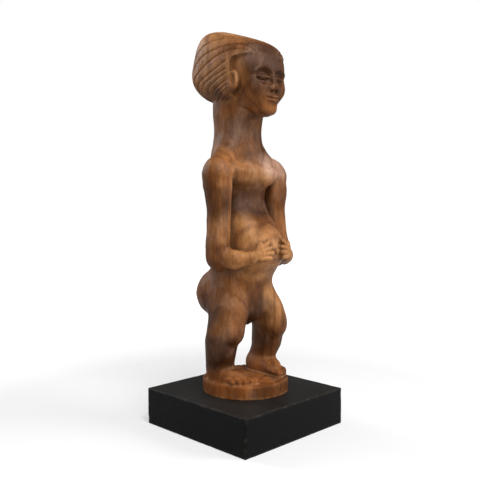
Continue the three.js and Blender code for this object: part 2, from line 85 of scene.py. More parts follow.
# Trunk and neck: half width, and reach in front of and behind the axis
TRUNK = levels(("up", "half", "front", "back"), [
    (100, 6, 1, 6),
    (104, 17, 6, 17),
    (110, 29, 14, 31),
    (116, 34.5, 18.5, 38),
    (122, 36, 20, 41),
    (134, 35.5, 20.5, 43),
    (147, 31, 24, 38),
    (156, 29.5, 30, 35),
    (165, 29.5, 38, 33),
    (176, 29.5, 41.5, 32),
    (188, 28.5, 38.5, 31.5),
    (200, 27, 30, 31),
    (212, 25.5, 20, 31),
    (224, 25, 15.5, 31.5),
    (234, 26, 15.5, 32),
    (244, 29, 18.5, 32.5),
    (253, 31, 20.5, 33),
    (261, 30, 18.5, 33),
    (270, 27, 15.5, 33),
    (281, 23.5, 13, 33),
    (296, 22.5, 12.5, 32),
    (318, 24, 16, 33),
    (330, 22, 14, 30),
])
TRUNK_SQUARENESS = 2.4

# Limbs: centre line, half width and half depth
LIMB_SIZES = ("up", "side", "ahead", "half", "deep")
LIMB_SQUARENESS = 2.2
LEG = levels(LIMB_SIZES, [
    (52, 29.2, -3.8, 10.8, 12),
    (64, 30.3, -4.5, 11.2, 15),
    (75, 32.3, -1.1, 12.7, 16.2),
    (87, 32.6, 0.8, 13.6, 17.5),
    (100, 31, 3.4, 14.8, 19),
    (113, 26.5, 3.5, 16.5, 21),
    (127, 21, -2, 17, 23.5),
    (143, 16, -3, 11, 16),
    (152, 13, -3, 5, 8),
])
UPPER_ARM = levels(LIMB_SIZES, [
    (157, 41.5, 6.5, 3, 3),
    (161, 42, 6.5, 7.5, 7.5),
    (169, 42.5, 6.5, 10.5, 11),
    (181, 42, 6, 11, 11.5),
    (196, 40, 4.5, 10.5, 11.5),
    (214, 38.5, 3.5, 10.5, 12),
    (231, 39, 3, 12, 13.5),
    (238, 39.3, 2.5, 12.2, 13.8),
    (246, 39, 2, 9, 10.5),
])

# Round bars: at each end the place (side, ahead, up) and the radius
YOKE = [(13, -8, 275, 10), (35, 0, 254, 12.5)]
FOREARM = [(42.5, 7, 170.5, 10), (35, 21, 169, 8.4), (26, 31.5, 169.5, 6.2)]
PALM = [(24.5, 33.3, 170.8, 5.6), (17.5, 37.8, 174.5, 5.4)]
THUMB = [(22, 38, 174.5, 2.8), (19.5, 39.2, 183.5, 2.3)]
NOSE = [(0, 35, 346, 2), (0, 39.4, 330.8, 3.5)]
SPINE_GROOVE = [(0, -38, 292, 3.5), (0, -37.5, 160, 3.5)]
CLEFT = [(0, -40, 154, 1.5), (0, -45, 138, 4), (0, -44, 121, 4.5), (0, -33, 106, 5)]

# Fingers lie on the belly, fanned out from the knuckles; the spread is how far the knuckles follow the tips
FINGER_TIPS = [(9.5, 42.2, 185.2), (7.2, 43.2, 180), (6.8, 43.4, 174.8), (9, 42.4, 169.8)]
FINGER = {"middle": 177, "spread": 0.6, "root": 2.7, "tip": 2.2}
KNUCKLE = (18.5, 40, 174.5)

# Toes lie side by side and fall back from the first; each has a root and a tip
TOES = {"count": 5, "first": 17.8, "pitch": 4.65, "reach": 34.5, "fall_back": 1.0, "curve": 0.5, "long": 13}
TOE = {"root_up": 54.0, "root": 3.0, "tip_up": 52.2, "tip": 3.2, "narrow": 0.22}
FOOT_FRONT = {"ahead": 28.5, "side": 17.8, "slant": 0.62}

# Rounded masses: the centre, the reach each way, and for boxy ones the squareness and forward tilt
SHOULDER_TOP = {"at": (38.8, 1.5, 247.5), "reach": (13.9, 15.2, 17.5)}
BUTTOCK = {"at": (17, -26.5, 132), "reach": (17.5, 18.5, 21)}
KNEE = {"at": (30.5, 17.5, 99), "reach": (10, 5, 10)}
FOOT = {"at": (27.5, 5, 53.5), "reach": (12, 26.5, 10), "squareness": 2.8, "tilt": 0.14}
CHEST = {"at": (13.2, 9, 249.5), "reach": (15.5, 14.6, 10.5), "squareness": 2.6, "tilt": 0.08}
SHOULDER_BLADE = {"at": (16, -27, 243), "reach": (12, 6.5, 14)}
NAVEL = {"at": (0, 41.5, 176), "reach": (3.2, 3.2, 3.2)}
GROIN = {"at": (0, 11.5, 115), "reach": (9, 7.5, 9)}
FACE = {"at": (0, 12, 341), "reach": (27, 25.4, 33), "squareness": 2.9, "tilt": 0}
BEARD = {"at": (0, 27, 311.5), "reach": (11, 8.6, 7.2), "squareness": 2.8, "tilt": -0.2}
CHEEK = {"at": (15.5, 28, 330), "reach": (8, 6.5, 7.5)}
NOSE_WING = {"at": (4.3, 37.0, 329.6), "reach": (3.3, 4.2, 3.0)}
NOSTRIL = {"at": (3.0, 38.8, 326.4), "reach": (1.4, 1.9, 1.5)}
CAP = {"at": (0, -10.5, 352.5), "reach": (32.5, 44.3, 33.5), "squareness": 3.4, "tilt": 0.33}
BUN = {"at": (0, -33, 343), "reach": (26, 19, 21)}
EAR = {"at": (28.4, 12.6, 336), "reach": (3.9, 6.7, 10.4)}
EAR_HOLLOW = {"at": (32.6, 13.8, 337.6), "reach": (3.5, 4.1, 7)}

# The face is widest above and narrows to the jaw
FACE_TAPER = {"middle": 0.95, "change": 0.14, "up": 334, "over": 16}

# Low features of the face: how far they stand out, and their half width and height
SOCKET = {"side": 10.9, "up": 340, "half": 9.9, "above": 7.8, "below": 9.5, "depth": 3.1, "slope": 0.5}
BROW = {"stand": 0.9, "ring": 1.12, "width": 0.13, "start": 340.5, "fade": 4}
LID = {"side": 11.1, "up": 339.2, "half": 7.3, "above": 3.7, "below": 2.9, "stand": 2.5}
MUZZLE = {"up": 319.8, "half": 10.5, "tall": 7.8, "stand": 3.4}
MOUTH = {"up": 319.7, "smile": 0.01, "fullness": 1.6}
UPPER_LIP = {"half": 9.8, "rise": 1.7, "tall": 2.2, "stand": 1.9}
LOWER_LIP = {"half": 8.6, "rise": -1.9, "tall": 2.4, "stand": 2.1}
FACE_FRONT = {"start": 14, "fade": 10}

# The coiffure frames the face: it ends above the brow, in front of the ears and at the nape,
# and its underside climbs towards the back
HAIRLINE = {"brow": 359, "temple": 10, "corner": 10, "nape": 316, "climb_start": 30, "climb": 0.3}

# How softly the forms flow into each other
SOFT = {
    "yoke": 8, "shoulder_top": 4, "elbow": 4, "palm": 3, "hand": 2, "finger": 1, "thumb": 1.5,
    "foot": 5, "foot_front": 7, "toe": 0.5, "toes": 1.6, "cleft": 5, "buttock": 7, "knee": 7,
    "chest": 5, "blade": 8, "spine": 5, "navel": 1.5, "groin": 7,
    "beard": 4, "cheek": 7, "wing": 2, "nose": 2.5, "nostril": 0.8, "bun": 8, "hairline": 2, "nape": 5,
    "ear_hollow": 1, "coiffure": 1.2, "ear": 1, "arm": 2.5, "leg": 6, "head": 4, "plate": 3.2,
}
# The arm stays clear of the trunk below the shoulder and flows into it above
SHOULDER = {"start": 236, "over": 26, "extra": 7}

# Heights between which each part of the body can be met
BANDS = {"legs": (48, 162), "arms": (148, 296), "head": (298, 400), "plate": (0, 58)}
FAR = 60.0
# Keeps divisions safe
TINY = 1e-6
# A column's field is flat nearer to its axis than this share of its reach
NEAR_AXIS = 0.05


def join(a, b, softness):
    """Both forms, flowing together over the softness."""
    near = np.maximum(softness - np.abs(a - b), 0)
    return np.minimum(a, b) - near * near / (4 * softness)


def cut(a, b, softness):
    """The first form without the second."""
    return -join(-a, b, softness)


def ease(value):
    """From 0 to 1 with a gentle start and end."""
    t = np.clip(value, 0, 1)
    return t * t * (3 - 2 * t)


def length(a, b, c=0.0):
    return np.sqrt(a * a + b * b + c * c)


def ball(point, size):
    """A rounded mass with a reach of its own each way."""
    side, ahead, up = (c - at for c, at in zip(point, size["at"]))
    wide, deep, tall = size["reach"]
    scaled = length(side / wide, ahead / deep, up / tall)
    slope = length(side / wide ** 2, ahead / deep ** 2, up / tall ** 2) + TINY
    return scaled * (scaled - 1) / slope


def block(point, size):
    """A box with very round sides, tilted forward about the side axis."""
    side, ahead, up = (c - at for c, at in zip(point, size["at"]))
    tilt, power = size["tilt"], size["squareness"]
    forward = ahead * math.cos(tilt) - up * math.sin(tilt)
    above = ahead * math.sin(tilt) + up * math.cos(tilt)
    parts = [np.abs(c) / reach for c, reach in zip((side, forward, above), size["reach"])]
    scaled = sum(part ** power for part in parts) ** (1 / power) + TINY
    slope = length(*(part ** (power - 1) / reach for part, reach in zip(parts, size["reach"])))
    return (scaled - 1) / (slope / scaled ** (power - 1) + TINY)


def rod(point, ends):
    """A round bar between two ends, each with its own radius."""
    start, end = np.array(ends, float)
    away = [c - at for c, at in zip(point, start)]
    run = (end - start)[:3]
    along = np.clip(sum(c * r for c, r in zip(away, run)) / (run @ run), 0, 1)
    radius = start[3] + (end[3] - start[3]) * along
    return length(*(c - r * along for c, r in zip(away, run))) - radius


def joined(forms, softness):
    """All the forms, flowing together in turn."""
    total = forms[0]
    for form in forms[1:]:
        total = join(total, form, softness)
    return total


def level(sizes, name, up):
    """One size of a form at each height, on a smooth curve through its levels."""
    heights, values = sizes["up"], sizes[name]
    low = np.clip(np.searchsorted(heights, up) - 1, 0, len(heights) - 2)
    high = low + 1
    before, after = np.maximum(low - 1, 0), np.minimum(low + 2, len(heights) - 1)
    span = heights[high] - heights[low]
    along = np.clip((up - heights[low]) / span, 0, 1)
    slope_low = (values[high] - values[before]) / (heights[high] - heights[before]) * span
    slope_high = (values[after] - values[low]) / (heights[after] - heights[low]) * span
    rise = values[high] - values[low]
    bend = slope_low + slope_high - 2 * rise
    return values[low] + along * (slope_low + along * (rise - slope_low - bend + bend * along))


def column(point, sizes, squareness, half, middle, deep):
    """An upright form whose section is a rounded oval that changes with height."""
    side, ahead, up = point
    across, through = np.abs(side) / half, np.abs(ahead - middle) / deep
    scaled = (across ** squareness + through ** squareness) ** (1 / squareness) + TINY
    reach = length(side, ahead - middle)
    wall = np.where(scaled < NEAR_AXIS, -np.minimum(half, deep), reach - reach / scaled)
    return np.maximum(wall, np.maximum(up - sizes["up"][-1], sizes["up"][0] - up))


def trunk(point, outer):
    half, front, back = (level(TRUNK, name, point[2]) for name in ("half", "front", "back"))
    body = column(point, TRUNK, TRUNK_SQUARENESS, half, (front - back) / 2, (front + back) / 2)
    body = join(body, block(outer, CHEST), SOFT["chest"])
    body = join(body, ball(outer, SHOULDER_BLADE), SOFT["blade"])
    body = cut(body, rod(point, SPINE_GROOVE), SOFT["spine"])
    body = join(body, ball(point, NAVEL), SOFT["navel"])
    return join(body, ball(point, GROIN), SOFT["groin"])


def limb(outer, sizes):
    """An upper arm or a leg. Outer points have their side counted outward, alike left and right."""
    side, ahead, up = outer
    centre, middle, half, deep = (level(sizes, name, up) for name in LIMB_SIZES[1:])
    return column((side - centre, ahead, up), sizes, LIMB_SQUARENESS, half, middle, deep)


def hand(outer):
    side, ahead, up = KNUCKLE
    total = rod(outer, PALM)
    for tip in FINGER_TIPS:
        knuckle = (side, ahead, up + (tip[2] - FINGER["middle"]) * FINGER["spread"], FINGER["root"])
        total = join(total, rod(outer, (knuckle, (*tip, FINGER["tip"]))), SOFT["finger"])
    return join(total, rod(outer, THUMB), SOFT["thumb"])


def arm(outer):
    upper = join(limb(outer, UPPER_ARM), rod(outer, YOKE), SOFT["yoke"])
    upper = join(upper, ball(outer, SHOULDER_TOP), SOFT["shoulder_top"])
    lower = joined([rod(outer, FOREARM[:2]), rod(outer, FOREARM[1:])], SOFT["elbow"])
    return join(join(upper, lower, SOFT["elbow"]), hand(outer), SOFT["hand"])


def toes(outer):
    rods = []
    for n in range(TOES["count"]):
        side = TOES["first"] + TOES["pitch"] * n
        tip = TOE["tip"] - TOE["narrow"] * n
        reach = TOES["reach"] - TOES["fall_back"] * n - TOES["curve"] * n * n - tip
        root = (side, reach - TOES["long"], TOE["root_up"], TOE["root"])
        rods.append(rod(outer, (root, (side, reach, TOE["tip_up"], tip))))
    return joined(rods, SOFT["toe"])


def foot(outer):
    side, ahead, _ = outer
    past = ahead - FOOT_FRONT["ahead"] + FOOT_FRONT["slant"] * np.maximum(side - FOOT_FRONT["side"], 0)
    return cut(block(outer, FOOT), -past, SOFT["foot_front"])


def leg(outer):
    lower = join(limb(outer, LEG), foot(outer), SOFT["foot"])
    lower = join(lower, toes(outer), SOFT["toes"])
    return join(join(lower, ball(outer, BUTTOCK), SOFT["buttock"]), ball(outer, KNEE), SOFT["knee"])


def cleft(point):
    return joined([rod(point, ends) for ends in zip(CLEFT, CLEFT[1:])], SOFT["cleft"])


def foot_plate(point):
    side, ahead, up = point
    out = length(side, ahead - FOOT_PLATE["ahead"]) - (FOOT_PLATE["radius"] - FOOT_PLATE["edge"])
    above = up - (FOOT_PLATE["top"] - FOOT_PLATE["edge"])
    inner = np.minimum(np.maximum(out, above), 0)
    rim = length(np.maximum(out, 0), np.maximum(above, 0)) + inner - FOOT_PLATE["edge"]
    return np.maximum(rim, PLINTH_HEIGHT - up)


def socket_and_brow(outer, up):
    """The depth of the eye's socket, and the height of the brow arch round its upper edge."""
    tall = np.where(up > SOCKET["up"], SOCKET["above"], SOCKET["below"])
    ring = length((outer - SOCKET["side"]) / SOCKET["half"], (up - SOCKET["up"]) / tall)
    socket = SOCKET["depth"] * ease((1 - ring) / SOCKET["slope"])
    brow = BROW["stand"] * np.exp(-((ring - BROW["ring"]) / BROW["width"]) ** 2)
    return socket, brow * ease((up - BROW["start"]) / BROW["fade"])


def lids(outer, up):
    """The height of the two closed lids, pointed at both corners."""
    corner = 1 - ((outer - LID["side"]) / LID["half"]) ** 2
    tall = np.maximum(np.where(up > LID["up"], LID["above"], LID["below"]) * corner, TINY)
    bulge = np.maximum(1 - np.abs(up - LID["up"]) / tall, 0)
    return LID["stand"] * bulge * (2 - bulge)


def muzzle(side, up):
    """The soft mound that the mouth sits on."""
    across, above = side / MUZZLE["half"], (up - MUZZLE["up"]) / MUZZLE["tall"]
    return MUZZLE["stand"] * np.exp(-across ** 2 - above ** 2)


def features(point):
    """Sockets, brow arches, lids, muzzle and lips, as a height above the plain oval of the face."""
    side, ahead, up = point
    outer = np.abs(side)
    socket, brow = socket_and_brow(outer, up)
    height = brow + lids(outer, up) + muzzle(side, up) - socket
    parting = MOUTH["up"] + MOUTH["smile"] * side * side
    for lip in (UPPER_LIP, LOWER_LIP):
        edge = length(side / lip["half"], (up - parting - lip["rise"]) / lip["tall"])
        height = height + lip["stand"] * ease(MOUTH["fullness"] * (1 - edge))
    return ease((ahead - FACE_FRONT["start"]) / FACE_FRONT["fade"]) * height


def face(point, outer):
    side, ahead, up = point
    taper = np.tanh((up - FACE_TAPER["up"]) / FACE_TAPER["over"])
    width = FACE_TAPER["middle"] + FACE_TAPER["change"] * taper
    jaw = join(block((side / width, ahead, up), FACE), block(point, BEARD), SOFT["beard"])
    shaped = join(jaw, ball(outer, CHEEK), SOFT["cheek"]) - features(point)
    nose = join(rod(point, NOSE), ball(outer, NOSE_WING), SOFT["wing"])
    return cut(join(shaped, nose, SOFT["nose"]), ball(outer, NOSTRIL), SOFT["nostril"])


def hair_edges(point):
    """How far a point is inside the front edge and the lower edge of the coiffure."""
    _, ahead, up = point
    front = join(HAIRLINE["brow"] - up, ahead - HAIRLINE["temple"], HAIRLINE["corner"])
    under = up - HAIRLINE["nape"] - HAIRLINE["climb"] * np.maximum(-ahead - HAIRLINE["climb_start"], 0)
    return -front, under


def hair_mass(point):
    """The cap of hair with the fullness behind it, before the hairline is cut."""
    return join(block(point, CAP), ball(point, BUN), SOFT["bun"])


def coiffure(point):
    front, under = hair_edges(point)
    return cut(cut(hair_mass(point), front, SOFT["hairline"]), under, SOFT["nape"])


def head(point, outer):
    ear = cut(ball(outer, EAR), ball(outer, EAR_HOLLOW), SOFT["ear_hollow"])
    return join(join(face(point, outer), coiffure(point), SOFT["coiffure"]), ear, SOFT["ear"])


def within(band, form, *points):
    """A form's field at the heights where it can be met, and a large distance elsewhere."""
    up = points[0][2]
    low, high = BANDS[band]
    near = (up > low) & (up < high)
    value = np.full(up.shape, FAR)
    if near.any():
        value[near] = form(*(tuple(c[near] for c in point) for point in points))
    return value


def carving(side, ahead, up):
    """The field of the whole figure with its foot plate."""
    point, outer = (side, ahead, up), (np.abs(side), ahead, up)
    arm_softness = SOFT["arm"] + SHOULDER["extra"] * ease((up - SHOULDER["start"]) / SHOULDER["over"])
    body = join(trunk(point, outer), within("arms", arm, outer), arm_softness)
    body = join(body, within("legs", leg, outer), SOFT["leg"])
    body = cut(body, within("legs", cleft, point), SOFT["cleft"])
    body = join(body, within("head", head, point, outer), SOFT["head"])
    return join(body, within("plate", foot_plate, point), SOFT["plate"])


# Drawing the surface

# The box that holds the figure, and the size of the cells in it, in millimetres
FIELD_LOW = np.array([-61.7, -56.3, 34.1])
FIELD_HIGH = np.array([61.7, 62.3, 394.0])
CELL = 0.64
# The field is felt out in blocks of cells. Where the surface is fewer cells away than this from the middle
# of a block, it is worked out cell by cell
BLOCK = 4
BLOCK_REACH = 6.4
CELL_CORNERS = np.array(list(np.ndindex(2, 2, 2)))
CELL_EDGES = [
    (a, b) for a in range(8) for b in range(a) if np.abs(CELL_CORNERS[a] - CELL_CORNERS[b]).sum() == 1
]
FIGURE_TRIANGLES = 192000

# The surface's direction is read from the field at the corners of a small tetrahedron
PROBE = 0.25
PROBES = np.array([(1, 1, 1), (1, -1, -1), (-1, 1, -1), (-1, -1, 1)]) / math.sqrt(3)
SETTLE_ROUNDS = 2


def at_points(field, points):
    """The field at points given as rows in Blender's axes, in millimetres."""
    return field(points[:, 0], -points[:, 1], points[:, 2])


def sampled(field, low, high, cell):
    """Field values on a grid: exact near the surface, and rough elsewhere, where only the sign counts."""
    blocks = np.ceil((high - low) / (cell * BLOCK)).astype(int)
    every = np.indices(blocks).reshape(3, -1).T
    rough = at_points(field, low + (every * BLOCK + (BLOCK - 1) / 2) * cell)
    values = rough.reshape(blocks)
    for axis in range(3):
        values = np.repeat(values, BLOCK, axis=axis)
    close = every[np.abs(rough) < BLOCK_REACH * cell]
    spots = (close[:, None] * BLOCK + np.indices((BLOCK,) * 3).reshape(3, -1).T).reshape(-1, 3)
    values[tuple(spots.T)] = at_points(field, low + spots * cell)
    return values


def fill_pinches(values):
    """Adds wood at grid points where two surfaces would touch along an edge alone."""
    for axis in range(3):
        grid = np.moveaxis(values, axis, 0)
        square = (grid[:, :-1, :-1], grid[:, 1:, :-1], grid[:, 1:, 1:], grid[:, :-1, 1:])
        a, b, c, d = (corner < 0 for corner in square)
        pinched = (a == c) & (b == d) & (a != b)
        for corner in square:
            corner[pinched & (corner >= 0)] = -TINY


def points_in_cells(values, cells):
    """One point in each cell, in the middle of the places where the surface crosses the cell's edges."""
    corners = values[tuple((cells[:, None] + CELL_CORNERS).reshape(-1, 3).T)].reshape(-1, 8)
    total, hits = np.zeros((len(cells), 3)), np.zeros(len(cells))
    for a, b in CELL_EDGES:
        hit = (corners[:, a] < 0) != (corners[:, b] < 0)
        along = corners[hit, a] / (corners[hit, a] - corners[hit, b])
        total[hit] += CELL_CORNERS[a] + along[:, None] * (CELL_CORNERS[b] - CELL_CORNERS[a])
        hits[hit] += 1
    return cells + total / hits[:, None]


def draw_surface(field, low, high, cell):
    """The field's zero surface, as points and the four-sided faces between them."""
    values = sampled(field, low, high, cell)
    fill_pinches(values)
    inside = values < 0
    shape = np.array(values.shape) - 1
    count = np.zeros(shape, np.int8)
    for i, j, k in CELL_CORNERS:
        count += inside[i : i + shape[0], j : j + shape[1], k : k + shape[2]]
    crossed = (count > 0) & (count < 8)
    cells = np.argwhere(crossed)
    number = np.full(crossed.shape, -1, np.int32)
    number[crossed] = np.arange(len(cells))
    faces = []
    for axis in range(3):
        first = np.take(inside, range(shape[axis]), axis)
        second = np.take(inside, range(1, shape[axis] + 1), axis)
        edges = np.argwhere(first != second)
        u, v = np.eye(3, dtype=int)[(axis + 1) % 3], np.eye(3, dtype=int)[(axis + 2) % 3]
        ring = [number[tuple((edges - step).T)] for step in (u + v, v, 0 * u, u)]
        quads = np.stack(ring, 1)
        outward = first[tuple(edges.T)]
        faces.append(np.where(outward[:, None], quads, quads[:, ::-1]))
    return low + points_in_cells(values, cells) * cell, np.concatenate(faces)


def settle(field, points):
    """Points moved onto the zero surface, and the surface's outward directions there."""
    for _ in range(SETTLE_ROUNDS):
        values = [at_points(field, points + PROBE * probe) for probe in PROBES]
        slope = sum(value[:, None] * probe for value, probe in zip(values, PROBES))
        slope = slope * 3 / (len(PROBES) * PROBE)
        steepness = np.linalg.norm(slope, axis=1, keepdims=True) + TINY
        points = points - np.clip(np.mean(values, 0)[:, None] / steepness, -1, 1) * slope / steepness
    return points, slope / steepness


# Low relief, pressed into the finished surface: depths, widths and wave lengths in millimetres

HAIR = {
    "axis_up": 321, "axis_tilt": 0.35, "ridges": 54, "groove": 0.75, "half_width": 0.72,
    "rim": 2.2, "fade": 2.5, "skin": 2.5,
}
STRAY = {"amount": 0.16, "wave": 17.0, "shift": 2.3}
NICKS = {"pitch": 3.4, "depth": 0.16, "slant": 0.9, "sharpness": 3}
FACETS = {"across": 8.0, "tall": 13.0, "depth": 0.75, "level": 0.35, "smooth": 0.08, "seed": 7}
FACET_CENTRES = 64
# The adze marks are fainter on the head, and faintest on the face
FACET_SHARE = {"head": 0.3, "face": 0.15}
HEAD_UP = 312
FACE_AREA = {"ahead": 8, "low": 306, "high": 360}
LID_SLIT = {"up": 338.7, "sag": 0.55, "half_width": 0.42, "depth": 0.55, "fade": 5, "ahead": 25}

# Drying cracks in the back follow the upright grain: where they start and end, their line and their gape
CRACK_SIZES = ("low", "high", "side", "sway", "wave", "half_width", "depth")
CRACKS = [dict(zip(CRACK_SIZES, sizes)) for sizes in (
    (172, 264, 5.5, 0.7, 13.0, 0.5, 1.1),
    (202, 232, -12.5, 0.5, 9.0, 0.36, 0.6),
)]
CRACK_RIPPLE = {"share": 0.4, "quicker": 3.1, "shift": 1}
# Cracks in the foot plate run out to its rim, at an angle round from the figure's left
PLATE_CRACKS = [
    {"angle": 208.0, "inner": 17, "half_width": 0.5, "depth": 1.0},
    {"angle": 31.0, "inner": 31, "half_width": 0.4, "depth": 0.7},
]
PLATE_CRACK = {"open_over": 14, "top": 55, "sway": 0.7, "wave": 3.1, "lean": 0.5, "lean_wave": 2.3}
# A crack's lips reach a little past its half width, which never falls to nothing
CRACK_LIP = 1.15
CRACK_LEAST = 0.05


def hair_grooves(point):
    """Combed ridges that spread from the brow over the crown and gather again at the nape."""
    side, ahead, up = point
    above = (up - HAIR["axis_up"]) * math.cos(HAIR["axis_tilt"]) - ahead * math.sin(HAIR["axis_tilt"])
    radius = length(side, above)
    turn = np.arctan2(side, above) * HAIR["ridges"] / (2 * np.pi)
    turn = turn + STRAY["amount"] * np.sin(ahead / STRAY["wave"] + STRAY["shift"] * np.round(turn))
    off_line = np.abs(turn - np.round(turn)) * radius * 2 * np.pi / HAIR["ridges"]
    groove = HAIR["groove"] * np.exp(-(off_line / HAIR["half_width"]) ** 2)
    # The nicks of one ridge stand between those of the next
    nick_turn = (ahead + off_line * NICKS["slant"]) / NICKS["pitch"] + 0.5 * (np.round(turn) % 2)
    nick = NICKS["depth"] * (0.5 + 0.5 * np.cos(2 * np.pi * nick_turn)) ** NICKS["sharpness"]
    front, under = hair_edges(point)
    border = ease((np.minimum(front, under) - HAIR["rim"]) / HAIR["fade"])
    return (groove + nick) * border * ease(HAIR["skin"] - np.abs(hair_mass(point)))


def slits(point):
    """The line between the closed lids."""
    side, ahead, up = point
    across = (np.abs(side) - LID["side"]) / LID["half"]
    line = LID_SLIT["up"] - LID_SLIT["sag"] * (1 - across ** 2)
    reach = ease((1 - np.abs(across)) * LID_SLIT["fade"]) * (ahead > LID_SLIT["ahead"])
    return LID_SLIT["depth"] * np.exp(-((up - line) / LID_SLIT["half_width"]) ** 2) * reach


def facets(point):
    """Shallow scoops left by the adze, each round its own seeded centre."""
    side, ahead, up = point
    scaled = np.stack([side / FACETS["across"], ahead / FACETS["across"], up / FACETS["tall"]], 1)
    home = np.floor(scaled).astype(int)
    shifts = np.random.default_rng(FACETS["seed"]).random((FACET_CENTRES,) * 3 + (3,)).astype(np.float32)
    first = second = np.full(len(scaled), np.inf)
    for step in np.ndindex(3, 3, 3):
        spot = home + np.array(step) - 1
        centre = spot + shifts[tuple((spot % FACET_CENTRES).T)]
        gap = ((scaled - centre) ** 2).sum(1)
        second = np.minimum(second, np.maximum(first, gap))
        first = np.minimum(first, gap)
    scoop = FACETS["depth"] * (FACETS["level"] - join(first, second, FACETS["smooth"]))
    on_face = (ahead > FACE_AREA["ahead"]) & (up > FACE_AREA["low"]) & (up < FACE_AREA["high"])
    return scoop * np.where(on_face, FACET_SHARE["face"], np.where(up > HEAD_UP, FACET_SHARE["head"], 1.0))


def crack_depth(off_line, crack, gape):
    """How deep a crack is at a distance from its line."""
    opened = ease(CRACK_LIP - np.abs(off_line) / (crack["half_width"] * (gape + CRACK_LEAST)))
    return crack["depth"] * gape * opened


def back_crack(point, crack):
    side, ahead, up = point
    ripple = np.sin(up * CRACK_RIPPLE["quicker"] / crack["wave"] + CRACK_RIPPLE["shift"])
    line = crack["side"] + crack["sway"] * (np.sin(up / crack["wave"]) + CRACK_RIPPLE["share"] * ripple)
    along = (up - crack["low"]) / (crack["high"] - crack["low"])
    gape = np.sqrt(np.clip(4 * along * (1 - along), 0, 1)) * (ahead < 0)
    return crack_depth(side - line, crack, gape)


def plate_crack(point, crack):
    side, ahead, up = point
    ahead = ahead - FOOT_PLATE["ahead"]
    angle = math.radians(crack["angle"])
    out = side * math.cos(angle) + ahead * math.sin(angle)
    off = ahead * math.cos(angle) - side * math.sin(angle)
    off = off + PLATE_CRACK["sway"] * np.sin(out / PLATE_CRACK["wave"])
    off = off + PLATE_CRACK["lean"] * np.sin(up / PLATE_CRACK["lean_wave"])
    gape = ease((out - crack["inner"]) / PLATE_CRACK["open_over"]) * (up < PLATE_CRACK["top"])
    return crack_depth(off, crack, gape)


def cracks(point):
    """Drying cracks in the back and across the foot plate."""
    depths = [back_crack(point, crack) for crack in CRACKS]
    depths += [plate_crack(point, crack) for crack in PLATE_CRACKS]
    return np.max(depths, axis=0)


def relief(points):
    """How deep each point of the surface is pressed in, and how much of that is an open crack."""
    point = (points[:, 0], -points[:, 1], points[:, 2])
    open_crack = cracks(point)
    return hair_grooves(point) + slits(point) + facets(point) + open_crack, open_crack


# Where handling and time have changed the wood, and where light and shade are painted into it, as soft round
# patches on both
# sides of the figure: their centre, their reach each way, and their strength on the figure's right and on
# its left
PATCHES = {
    # Paler where hands have rubbed the wood, and painted light: the top-lit belly and crown are lightened,
    # and so are the belly's side in the arm's shade and its underside
    "rubbed_and_lit": [
        ((0, 32, 175), (35, 30, 20), 1.0, 0.85),
        ((20, 32, 170), (27, 20, 15), 1.0, 0.9),
        ((20, 14, 192), (14, 16, 18), 0.9, 0.3),
        ((13, 20, 249), (24, 15, 13), 0.5, 0.9),
        ((33, -2, 262), (20, 20, 13), 0.2, 0.5),
        ((0, 24, 158), (24, 20, 10), 1.0, 0.7),
        ((0, -22, 383), (36, 38, 28), 0.9, 0.9),
        ((24, -22, 350), (24, 26, 22), 0.5, 0.2),
        ((27, 8, 346), (10, 17, 20), 0.6, 0.3),
        ((42, 8, 196), (13, 16, 15), 0.45, 0.3),
        ((26, 16, 124), (20, 18, 22), 0.1, 0.9),
        ((16, -40, 136), (16, 12, 16), 0.4, 0.5),
        ((16, -28, 246), (14, 10, 16), 0.4, 0.5),
    ],
    # Darker with age, and painted shade: under the chest and upper arms, on the face below the coiffure,
    # under the chin, at the groin, under the bun and on the foot plate's left front
    "aged_and_shaded": [
        ((0, 12, 221), (26, 24, 16), 0.85, 0.85),
        ((44, 0, 223), (14, 22, 17), 0.6, 0.5),
        ((31, -2, 82), (20, 26, 17), 1.3, 0.75),
        ((32, 32, 42), (24, 22, 14), 0.0, 0.8),
        ((12, 43, 41), (18, 15, 9), 0.7, 0.8),
        ((32, -8, 110), (16, 22, 20), 0.9, 0.0),
        ((0, 38, 350), (28, 24, 28), 0.95, 0.9),
        ((0, 8, 287), (28, 28, 22), 0.65, 0.8),
        ((34, -2, 160), (18, 22, 14), 0.3, 0.5),
        ((0, 12, 116), (18, 18, 15), 0.9, 0.6),
        ((0, -30, 196), (24, 12, 26), 0.5, 0.4),
        ((0, -34, 326), (30, 24, 16), 0.3, 0.4),
    ],
    # The foot plate's own warm colour is weaker on the figure's left, where the plate is painted darker as
    # shade
    "warm": [((0, 0, 38), (80, 80, 21), 1.0, 0.65)],
    # Dust on the neck, and a painted pale sheen on the upper chest on the figure's left
    "dust_and_sheen": [
        ((22, 12, 257), (20, 22, 13), 0.05, 1.0),
        ((0, 4, 296), (30, 30, 18), 0.2, 0.2),
    ],
}
# A patch ends at this many times its reach, and the strengths of the two sides meet over this width
PATCH_END = 1.6
CHANGEOVER = 14.0


def patch_strength(point, spots):
    """How strongly the soft round patches cover each point."""
    side, ahead, up = point
    leftness = ease(side / CHANGEOVER + 0.5)
    total = np.zeros(len(up))
    for (s, a, u), (across, deep, tall), right, left in spots:
        away = length((np.abs(side) - s) / across, (ahead - a) / deep, (up - u) / tall)
        total = np.maximum(total, (right + (left - right) * leftness) * ease(PATCH_END - away))
    return total


# Meshes


def show(name, data):
    """A new object in the scene, for a mesh, a lamp or a camera."""
    obj = bpy.data.objects.new(name, data)
    bpy.context.scene.collection.objects.link(obj)
    return obj


def mesh_object(name, points, faces):
    mesh = bpy.data.meshes.new(name)
    mesh.vertices.add(len(points))
    mesh.vertices.foreach_set("co", (points * MM).astype(np.float32).ravel())
    mesh.loops.add(faces.size)
    mesh.loops.foreach_set("vertex_index", faces.astype(np.int32).ravel())
    mesh.polygons.add(len(faces))
    mesh.polygons.foreach_set("loop_start", np.arange(0, faces.size, faces.shape[1], dtype=np.int32))
    mesh.update(calc_edges=True)
    mesh.validate()
    return show(name, mesh)


